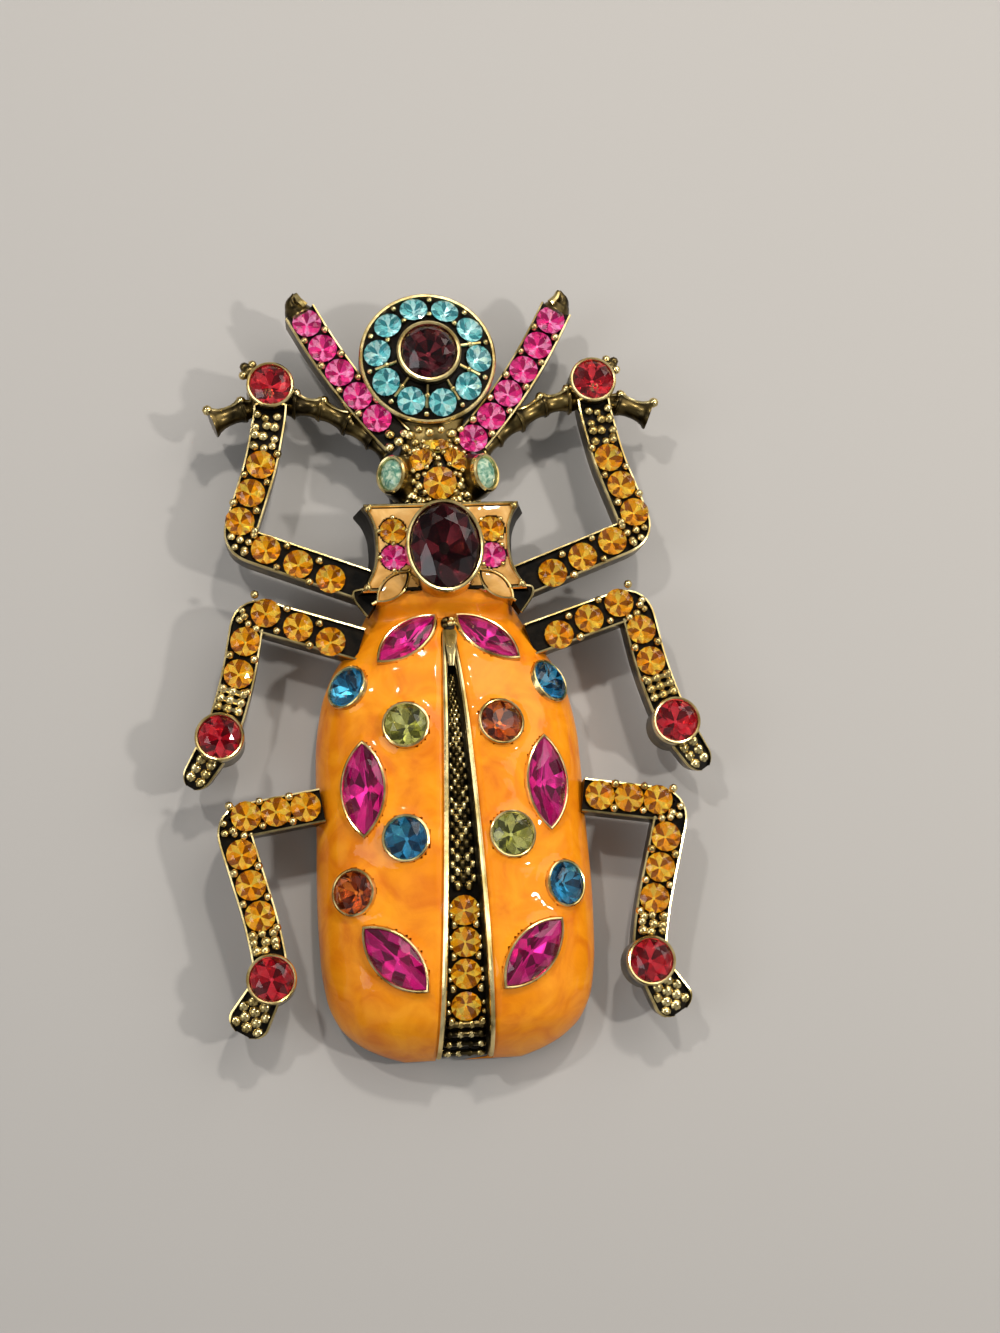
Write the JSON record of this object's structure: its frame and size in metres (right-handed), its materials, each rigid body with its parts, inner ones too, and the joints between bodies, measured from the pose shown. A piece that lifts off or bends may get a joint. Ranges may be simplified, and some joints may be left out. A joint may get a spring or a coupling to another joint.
{
  "type": "insect brooch",
  "caption": "Beetle brooch: antiqued metal casting with orange enamel wings, cut stones in raised collars along wings, legs and horns, a disc above the head and a pin across the back.",
  "frame": {"origin": "middle of the brooch's length and width, on the plane of the back rim", "axes": "+Z out of the cloth, +Y to the head and horns, +X to the right seen from the front"},
  "size_m": [0.0618, 0.0895, 0.0138],
  "materials": {
    "antique_metal": "antiqued gold plate, darkened in the recesses",
    "orange_enamel": "glossy pearly enamel",
    "peach_enamel": "glossy pearly enamel",
    "pin_steel": "plain plated steel",
    "dark_amethyst": "faceted, polished",
    "fuchsia": "faceted, polished",
    "blue": "faceted, polished",
    "aqua": "faceted, polished",
    "peridot": "faceted, polished",
    "topaz": "faceted, polished",
    "amber": "faceted, polished",
    "pink": "faceted, polished",
    "ruby": "faceted, polished",
    "opal": "faceted, polished"
  },
  "bodies": {
    "root": {"casting": "antique_metal", "wing_enamel": "orange_enamel", "oval_stone": "dark_amethyst", "disc_stone": "dark_amethyst", "disc_ring_stones": "aqua", "abdomen_stones": "amber", "pin_back": "pin_steel", "head_stone_1": "amber", "head_stone_2": "amber", "head_stone_3": "amber", "head_stone_4": "amber", "wing_stone_left_1": "fuchsia", "wing_stone_left_2": "blue", "wing_stone_left_3": "peridot", "wing_stone_left_4": "fuchsia", "wing_stone_left_5": "blue", "wing_stone_left_6": "topaz", "wing_stone_left_7": "fuchsia", "thorax_enamel_left": "peach_enamel", "leaf_enamel_left": "peach_enamel", "thorax_amber_left": "amber", "thorax_pink_left": "pink", "eye_left": "opal", "horn_stones_left": "pink", "leg_stones_front_left": "amber", "leg_stones_mid_left": "amber", "leg_stones_hind_left": "amber", "foot_stone_front_left": "ruby", "foot_stone_mid_left": "ruby", "foot_stone_hind_left": "ruby", "wing_stone_right_1": "fuchsia", "wing_stone_right_2": "blue", "wing_stone_right_3": "topaz", "wing_stone_right_4": "fuchsia", "wing_stone_right_5": "peridot", "wing_stone_right_6": "blue", "wing_stone_right_7": "fuchsia", "thorax_enamel_right": "peach_enamel", "leaf_enamel_right": "peach_enamel", "thorax_amber_right": "amber", "thorax_pink_right": "pink", "eye_right": "opal", "horn_stones_right": "pink", "leg_stones_front_right": "amber", "leg_stones_mid_right": "amber", "leg_stones_hind_right": "amber", "foot_stone_front_right": "ruby", "foot_stone_mid_right": "ruby", "foot_stone_hind_right": "ruby"}
  },
  "joints": []
}
